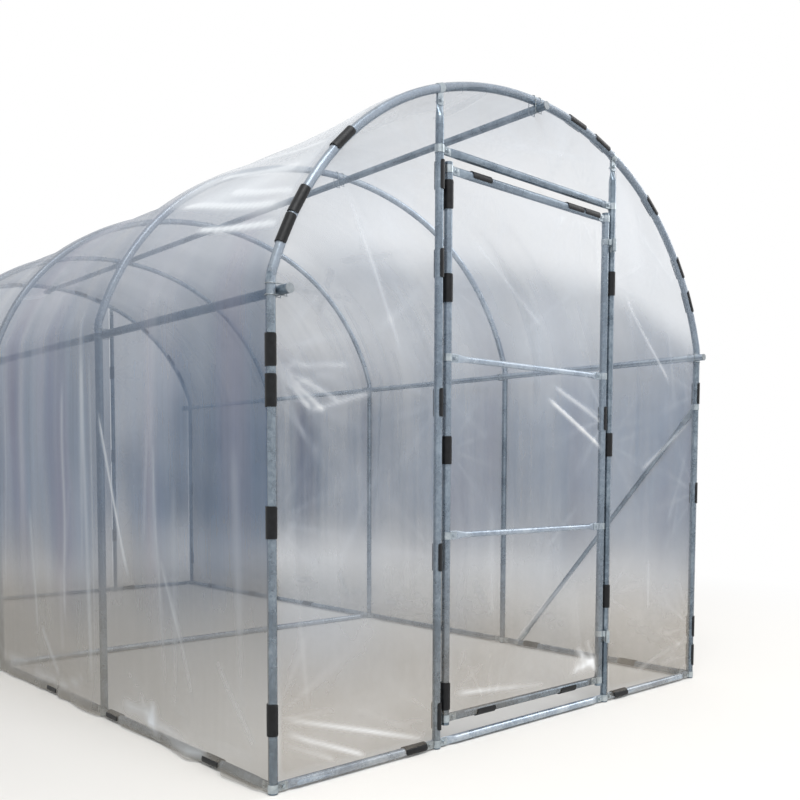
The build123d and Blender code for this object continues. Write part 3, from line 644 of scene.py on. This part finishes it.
# Film in the two ends
gable = {
    "end": 2.0,
    "jambX": 0.42,
    "wrap": 0.0131,                # over the cover's hem, still inside the clips
    "jambWrap": 0.0129,
    "onRail": (0.013, 0.0135),     # from the tube's middle, down the ground rail: side panels, middle panel
    "steps": (290, 112),           # up a side panel and across it
    "topOfJamb": 1.914,
    "bottom": 0.004,
    "lintel": 1.744,
    "lift": 0.001,
    "creaseDepth": 0.003,
    "bulge": (0.008, 0.003),       # broad and fine
    "clipPull": 0.7,
    "creases": {"count": 16, "angle": 65, "turn": 40, "length": (0.1, 0.4), "width": (0.008, 0.012), "strength": 0.2},
    "groundHaze": 1.7,             # the door end is splashed and dusty near the ground
    "edgeHaze": (1.3, 0.5),        # over the hoop: door end, rear
}
postTurns = np.radians([55, 75, 95, 115, 135, 150, 163])       # round the post and hoop, outer side to inner side
jambTurns = np.radians([17, 35, 55, 80, 105])
lintelTurns = np.radians([-60, -30, 0, 30, 60, 75])


def panelField(pGrid, zGrid, seed, clips, seams, window):
    # bulge and creases of a flat panel, from places across it and heights
    broad, fine = gable["bulge"]
    bulge = broad * wave(pGrid, zGrid, 1.6, 1.2, seed) + fine * wave(pGrid, zGrid, 6.0, 4.0, seed + 3)
    spans = [(float(grid.min()), float(grid.max())) for grid in (pGrid, zGrid)]
    look = {**gable["creases"], "seed": int(seed * 10), "spanA": spans[0], "spanB": spans[1]}
    lines = scattered(pGrid, zGrid, look)
    for centre, direction, strength in clips:
        lines = lines + gable["clipPull"] * strength * fan(pGrid, zGrid, centre, direction)
    for start, end, width, strength in seams:
        lines = lines + strength * seam(pGrid, zGrid, start, end, width)
    return bulge * window, np.clip(lines, 0, 1.2) * window


def endHaze(pGrid, zGrid, end, veil, seed, inside):
    mottled = 1 + 0.3 * wave(pGrid, zGrid, 2.0, 2.0, seed + 20)
    if end > 0:
        return veil * bandHaze(zGrid, cover["bandTops"][-1]) * mottled
    low = smooth(0.03, 0.07, zGrid) * (1 - smooth(0.05, 0.75, zGrid))
    return veil * mottled + gable["groundHaze"] * inside * low


def roundJamb(z, angle):
    out, along = gable["jambWrap"] * math.cos(angle), gable["jambWrap"] * math.sin(angle)
    return np.stack([np.full_like(z, -gable["jambX"] - out), np.full_like(z, along), z], -1)


def sidePanel(name, side, end, seed, clips, seams, veil):
    # between a corner post with its hoop and the jamb or stud: side -1 left, 1 right; end -1 door end, 1 rear
    look = gable
    stepsV, stepsU = look["steps"]
    v = np.linspace(0, 1, stepsV + 1)
    u = np.linspace(0, 1, stepsU + 1)[1:-1]
    post = hoopAt(look["bottom"] + (float(reachAt(-look["jambX"])) - look["bottom"]) * v)
    jambZ = look["bottom"] + (look["topOfJamb"] - look["bottom"]) * v
    columns = [roundHoop(post, angle, look["wrap"]) for angle in postTurns]
    start, finish = columns[-1], roundJamb(jambZ, jambTurns[0])
    columns += [start * (1 - t) + finish * t for t in u]
    columns += [roundJamb(jambZ, angle) for angle in jambTurns]
    points = np.stack(columns, 1)
    shareU = np.concatenate([np.zeros(len(postTurns)), u, np.ones(len(jambTurns))])
    pGrid, zGrid = points[..., 0].copy(), points[..., 2]
    window = (np.sin(math.pi * shareU) ** 0.6)[None, :] * smooth(0, 0.05, 1 - v)[:, None]
    bulge, lines = panelField(pGrid, zGrid, seed, clips, seams, window)
    points[..., 1] += bulge + look["creaseDepth"] * lines * window + look["lift"]
    low = (1 - smooth(0.02, 0.1, zGrid)) * window ** 0.5
    points[..., 1] += low * (look["onRail"][0] - points[..., 1])          # down the outside of the ground rail
    points[..., 1] = end * (points[..., 1] + look["end"])
    if side > 0:
        points[..., 0] *= -1
    flat = np.stack([pGrid, zGrid], -1)
    haze = endHaze(pGrid, zGrid, end, veil, seed, smooth(0, 0.04, np.minimum(shareU, 1 - shareU)))
    haze[:, :len(postTurns)] = (0.1 + look["edgeHaze"][end > 0] * smooth(1.2, 1.4, post[1]))[:, None]
    if side * end > 0:
        points, flat, lines, haze = points[:, ::-1], flat[:, ::-1], lines[:, ::-1], haze[:, ::-1]
    return sheetMesh(name, points, flat, lines, haze)


def middlePanel(name, end, low, seed, clips, seams, veil, steps):
    # between the jambs or studs, from the lintel (or the ground when low is 0) up to the hoop
    look = gable
    stepsU, stepsV = steps
    half = look["jambX"] - 0.0125
    p = np.linspace(-half, half, stepsU + 1)
    v = np.linspace(0, 1, stepsV + 1)[1:-1]
    crown = hoopAt(np.where(p < 0, reachAt(p), hoopLength - reachAt(-p)))
    wrap, onRail = look["jambWrap"], look["onRail"][1]
    if low > 0:
        foot = [(wrap * math.cos(angle), low + wrap * math.sin(angle)) for angle in lintelTurns]
    else:
        foot = [(onRail, look["bottom"])]
    rows = [np.stack([p, np.full_like(p, along), np.full_like(p, z)], -1) for along, z in foot]
    over = [roundHoop(crown, angle, look["wrap"]) for angle in postTurns[::-1]]
    start, finish = rows[-1], over[0]
    rows += [start * (1 - t) + finish * t for t in v] + over
    points = np.stack(rows, 0)
    pGrid, zGrid = points[..., 0], points[..., 2]
    shareV = np.concatenate([np.zeros(len(foot)), v, np.ones(len(over))])
    window = np.sin(math.pi * shareV)[:, None] ** 0.5 * np.sin(math.pi * np.linspace(0, 1, stepsU + 1))[None, :] ** 0.5
    bulge, lines = panelField(pGrid, zGrid, seed, clips, seams, window)
    points[..., 1] += bulge + look["creaseDepth"] * lines * window + look["lift"]
    if low == 0:
        points[..., 1] += (1 - smooth(0.02, 0.12, zGrid)) * (onRail - points[..., 1])
    points[..., 1] = end * (points[..., 1] + look["end"])
    flat = np.stack([pGrid, zGrid], -1)
    haze = endHaze(pGrid, zGrid, end, veil, seed, 1.0)
    if end > 0:
        points, flat, lines, haze = points[:, ::-1], flat[:, ::-1], lines[:, ::-1], haze[:, ::-1]
    return sheetMesh(name, points, flat, lines, haze)


# clips: place on the panel, the way they pull, how hard; seams: start, end, width, strength
leftPulls = [((-1.0, z), (1, 0), pull) for z, pull in ((0.192, 0.8), (0.693, 0.6), (1.022, 1.0), (1.122, 1.1))]
leftPulls += [((-0.42, z), (-1, 0), 0.6) for z in (0.098, 0.571, 1.023, 1.422, 1.672)]
leftSeams = [
    ((-0.985, 1.084), (-0.752, 1.105), 0.008, 0.5),
    ((-0.985, 1.076), (-0.884, 0.977), 0.008, 0.9),
    ((-0.985, 1.080), (-0.836, 0.974), 0.008, 0.8),
    ((-0.985, 1.082), (-0.783, 1.005), 0.008, 0.6),
    ((-0.985, 1.080), (-0.850, 1.010), 0.030, 0.35),
    ((-0.884, 0.977), (-0.672, 1.038), 0.008, 0.5),
    ((-0.985, 1.060), (-0.900, 0.900), 0.008, 0.35),
    ((-0.978, 0.190), (-0.455, 0.035), 0.008, 0.8),
    ((-0.970, 0.150), (-0.690, 0.035), 0.008, 0.8),
    ((-0.965, 0.120), (-0.800, 0.045), 0.008, 0.4),
    ((-0.760, 1.560), (-0.560, 1.120), 0.008, 0.35),
]
rightPulls = [((-1.0, z), (1, 0), 0.8) for z in (0.094, 0.209, 0.742, 1.132)]
rightPulls += [((-0.42, z), (-1, 0), 0.6) for z in (0.382, 0.919, 1.479)]
rightSeams = [
    ((-0.623, 0.832), (-0.963, 1.029), 0.008, 0.5),
    ((-0.50, 1.45), (-0.80, 1.15), 0.008, 0.5),
    ((-0.95, 0.16), (-0.60, 0.08), 0.010, 0.22),
]
topPulls = [((x, 1.76), (0, 1), 0.5) for x in (-0.2, 0.25)]
topSeams = [((-0.357, 1.80), (0.30, 1.87), 0.010, 0.2)]

frontFilmLeft = sidePanel("frontFilmLeft", -1, -1, 5.3, leftPulls, leftSeams, 0.75)
frontFilmRight = sidePanel("frontFilmRight", 1, -1, 8.9, rightPulls, rightSeams, 0.9)
frontFilmTop = middlePanel("frontFilmTop", -1, gable["lintel"], 12.1, topPulls, topSeams, 0.9, (100, 44))
for piece, node, flat, area, rests in (
    (frontFilmLeft, "front_film_left", (0.66, 2.22), 1.13, ["front_left_post", "front_arch", "left_door_jamb"]),
    (frontFilmRight, "front_film_right", (0.66, 2.22), 1.13, ["front_right_post", "front_arch", "right_door_jamb"]),
    (frontFilmTop, "front_film_top", (0.82, 0.32), 0.22, ["door_lintel", "front_arch"]),
):
    finishPiece(piece, "frame", endFilm)
    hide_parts(node)

# the rear's three fields are one piece
rearVeil = 0.82
rearFilm = sidePanel("rearFilm", -1, 1, 15.5, leftPulls, [], rearVeil)
rearRight = sidePanel("rearFilmRight", 1, 1, 18.2, rightPulls, [], rearVeil)
rearMiddle = middlePanel("rearFilmMiddle", 1, 0.0, 21.4, [], [], rearVeil, (90, 170))
bpy.ops.object.select_all(action="DESELECT")
for piece in (rearRight, rearMiddle, rearFilm):
    piece.select_set(True)
bpy.context.view_layer.objects.active = rearFilm
bpy.ops.object.join()
finishPiece(rearFilm, "frame", coverFilm)
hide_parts("rear_film")
print("stage: end films done")

# Film on the door
door = {
    "stileX": 0.3835,
    "low": 0.085,
    "high": 1.695,
    "plane": -2.0108,
    "tubePlane": -2.0,
    "wrap": 0.0129,
    "steps": (128, 256),
    "bulge": (0.6, 0.004, 0.02),        # share of a panel's, outset, most
    "crossbars": (0.633, 1.156),
    "creaseDepth": 0.004,
    "veil": 0.95,
    "seed": 31.0,
    "seams": [
        ((0.068, 1.058), (0.403, 0.884), 0.008, 1.0),
        ((0.10, 1.10), (0.37, 0.99), 0.008, 0.6),
        ((-0.083, 0.285), (0.241, 0.502), 0.008, 0.3),
        ((-0.292, 1.510), (0.038, 1.281), 0.008, 0.3),
        ((0.225, 0.150), (0.385, 0.155), 0.034, 0.5),
        ((0.235, 0.215), (0.37, 0.115), 0.013, 0.4),
        ((0.20, 0.130), (0.37, 0.175), 0.011, 0.35),
        ((0.30, 0.235), (0.35, 0.110), 0.012, 0.3),
        ((-0.36, 0.16), (0.10, 0.115), 0.009, 0.6),
    ],
}


def makeDoorFilm():
    look = door
    wrap, stile, low, high = look["wrap"], look["stileX"], look["low"], look["high"]
    stepsP, stepsQ = look["steps"]
    turns = np.radians([20, 45, 70, 95, 120])
    p = np.concatenate([-stile - turns[::-1] * wrap, np.linspace(-stile, stile, stepsP + 1), stile + turns * wrap])
    q = np.concatenate([low - turns[::-1] * wrap, np.linspace(low, high, stepsQ + 1), high + turns * wrap])
    pGrid, qGrid = np.meshgrid(p, q, indexing="xy")
    # angles round the stiles and the rails
    beyondX = np.clip((np.abs(pGrid) - stile) / wrap, 0, None)
    beyondZ = np.where(qGrid > high, (qGrid - high) / wrap, np.where(qGrid < low, (low - qGrid) / wrap, 0))
    x = np.sign(pGrid) * (np.minimum(np.abs(pGrid), stile) + wrap * np.sin(beyondX))
    z = np.clip(qGrid, low, high) + np.sign(qGrid - 0.9) * wrap * np.sin(beyondZ)
    edge = np.minimum(stile - np.abs(pGrid), np.minimum(qGrid - low, high - qGrid))
    near = 1 - smooth(0.0, 0.03, edge)
    y = look["plane"] * (1 - near) + (look["tubePlane"] - wrap) * near
    y = y + np.maximum(wrap - wrap * np.cos(beyondX), wrap - wrap * np.cos(beyondZ)) * ((beyondX > 0) | (beyondZ > 0))
    window = smooth(0.0, 0.07, np.clip(edge, 0, None))
    clips = [((-stile, at), (1, 0), 0.35) for at in (0.153, 0.885, 1.355, 1.622)] + [((stile, 1.010), (-1, 0), 0.8)]
    clips += [((at, high), (0, -1), 0.4) for at in (-0.251, 0.203, 0.294)]
    clips += [((at, low), (0, 1), 0.4) for at in (-0.214, 0.198)]
    bulge, lines = panelField(pGrid, qGrid, look["seed"], clips, look["seams"], window)
    share, outset, most = look["bulge"]
    y = y - np.clip(bulge * share + outset, 0, most) * window - look["creaseDepth"] * lines * window
    points = np.stack([x, y, z], -1)
    # no faces where two wraps would meet at a corner
    corner = (beyondX > 0) & (beyondZ > 0)
    keep = ~(corner[:-1, :-1] | corner[1:, :-1] | corner[1:, 1:] | corner[:-1, 1:])
    flat = np.stack([pGrid, qGrid], -1)
    mottled = 1 + 0.35 * wave(pGrid, qGrid, 2.0, 2.0, look["seed"] + 20)
    haze = look["veil"] * mottled + (1 - smooth(0.3, 0.8, qGrid)) * smooth(0.0, 0.03, edge)
    piece = sheetMesh("doorFilm", points[:, ::-1], flat[:, ::-1], lines[:, ::-1], haze[:, ::-1], keep[:, ::-1])
    finishPiece(piece, "door", endFilm)
    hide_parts("door_film")


makeDoorFilm()
print("stage: door film done")

bolt = {
    "acrossFlats": 0.010, "washer": 0.001, "head": 0.0042, "nut": 0.005, "shank": 0.003,
    "stub": 0.006,
    "inNut": 0.001,         # how much of the stub is in the nut
    "bevel": 0.0005,
    "earFace": 0.004,       # from the middle of the clamp's two ears to their outer face
    "fromAxis": 0.0284,     # from the tube's middle to the bolt
    "railHeight": 0.015,
    "band": 0.0141,         # outer radius of the clamp's band
    "tongueHalf": 0.013,    # half the width of a flattened tube end
    "gap": 0.0003,
    "belowTop": 0.014,      # from the end of the jamb to its bolt
}


def shapeEnd(part, way, inset, lift):
    # narrows the end face of a part that looks along way, and moves it
    for face in part.data.polygons:
        face.select = face.normal.z * way > 0.9
    for edge in part.data.edges:
        edge.select = False
    for vertex in part.data.vertices:
        vertex.select = False
    for face in part.data.polygons:
        if face.select:
            for index in face.vertices:
                part.data.vertices[index].select = True
    bpy.ops.object.mode_set(mode="EDIT")
    bpy.ops.mesh.select_mode(type="FACE")
    bpy.ops.mesh.inset(thickness=inset, depth=0)
    bpy.ops.transform.translate(value=(0, 0, way * lift))
    bpy.ops.object.mode_set(mode="OBJECT")


def addPrism(way, corners, radius, start, height, inset, lift):
    # a prism or cylinder along way from start, its end face narrowed
    bpy.ops.object.select_all(action="DESELECT")
    bpy.ops.mesh.primitive_cylinder_add(
        vertices=corners, radius=radius, depth=height, location=(0, 0, way * (start + height / 2)))
    shapeEnd(bpy.context.object, way, inset, lift)
    return bpy.context.object


def joinParts(parts):
    bpy.ops.object.select_all(action="DESELECT")
    for part in parts:
        part.select_set(True)
    bpy.context.view_layer.objects.active = parts[0]
    if len(parts) > 1:
        bpy.ops.object.join()
    return bpy.context.object


def makeBolt():
    # head and washer on one side of the ears, nut and thread end on the other; along the z axis at the origin
    look = bolt
    washer, bevel, flats = look["washer"], look["bevel"], look["acrossFlats"]
    face = look["earFace"]
    parts = []
    for way, height in ((1, look["head"]), (-1, look["nut"])):
        parts.append(addPrism(way, 20, flats * 0.62, face, washer * 0.6, bevel, washer * 0.4))      # rounded rim
        parts.append(addPrism(way, 6, flats / math.sqrt(3), face + washer, height - bevel, bevel * 1.8, bevel))
    tip = face + washer + look["nut"] - look["inNut"]
    parts.append(addPrism(-1, 14, look["shank"], tip, look["stub"], bevel * 1.4, bevel))
    piece = joinParts(parts)
    bpy.ops.object.transform_apply(location=True, rotation=True, scale=True)
    bpy.ops.object.shade_smooth_by_angle(angle=math.radians(35))
    return piece


def placeBolts(name, pattern, places, body):
    # places: middle of the ears, and the way the head faces
    copies = []
    for at, facing in places:
        copy = pattern.copy()
        copy.data = pattern.data.copy()
        bpy.context.scene.collection.objects.link(copy)
        turn = Vector(facing).to_track_quat("Z", "Y").to_matrix().to_4x4()
        copy.data.transform(Matrix.Translation(Vector(at)) @ turn)
        copies.append(copy)
    piece = joinParts(copies)
    piece.name = name
    finishPiece(piece, body, zincFitting)


pattern = makeBolt()
reach, low, end, jambX = bolt["fromAxis"], bolt["railHeight"], gable["end"], gable["jambX"]

# ground rails: beside every hoop, across at the ends and the middle, and at the feet of jambs and studs
basePlaces = []
for sideX in (-1, 1):
    for y in cover["hoopPlaces"]:
        if y > -end:
            basePlaces.append(((sideX, y - reach, low), (sideX, 0, 0)))
        if y < end:
            basePlaces.append(((sideX, y + reach, low), (sideX, 0, 0)))
        if y in (-end, 0.0, end):
            basePlaces.append(((sideX * (1 - reach), y, low), (0, -1 if y <= 0 else 1, 0)))
    for y in (-end, end):
        for way in (-1, 1):
            basePlaces.append(((sideX * jambX + way * reach, y, low), (0, -1 if y < 0 else 1, 0)))
placeBolts("baseBolts", pattern, basePlaces, "frame")

# jambs and studs: at the lintel, and under the hoop, where the clamp hangs clear of the sloping tube
jambPlaces = []
slope = math.asin(jambX / hoop["crownRadius"])
clear = bolt["band"] / math.cos(slope) + bolt["tongueHalf"] * math.tan(slope) + bolt["gap"]
hoopZ = hoop["apex"] - hoop["crownRadius"] + hoop["crownRadius"] * math.cos(slope)
for sideX in (-1, 1):
    jambPlaces.append(((sideX * (jambX - reach), -end, gable["lintel"]), (0, -1, 0)))
    for y in (-end, end):
        jambPlaces.append(((sideX * jambX, y, hoopZ - clear - bolt["belowTop"]), (0, -1 if y < 0 else 1, 0)))
placeBolts("jambBolts", pattern, jambPlaces, "frame")

# the ends of the door's rails and crossbars
doorPlaces = []
for sideX in (-1, 1):
    for z in (door["low"], *door["crossbars"], door["high"]):
        doorPlaces.append(((sideX * (door["stileX"] - reach), -end, z), (0, -1, 0)))
placeBolts("doorBolts", pattern, doorPlaces, "door")
bpy.data.objects.remove(pattern, do_unlink=True)
print("stage: bolts done")
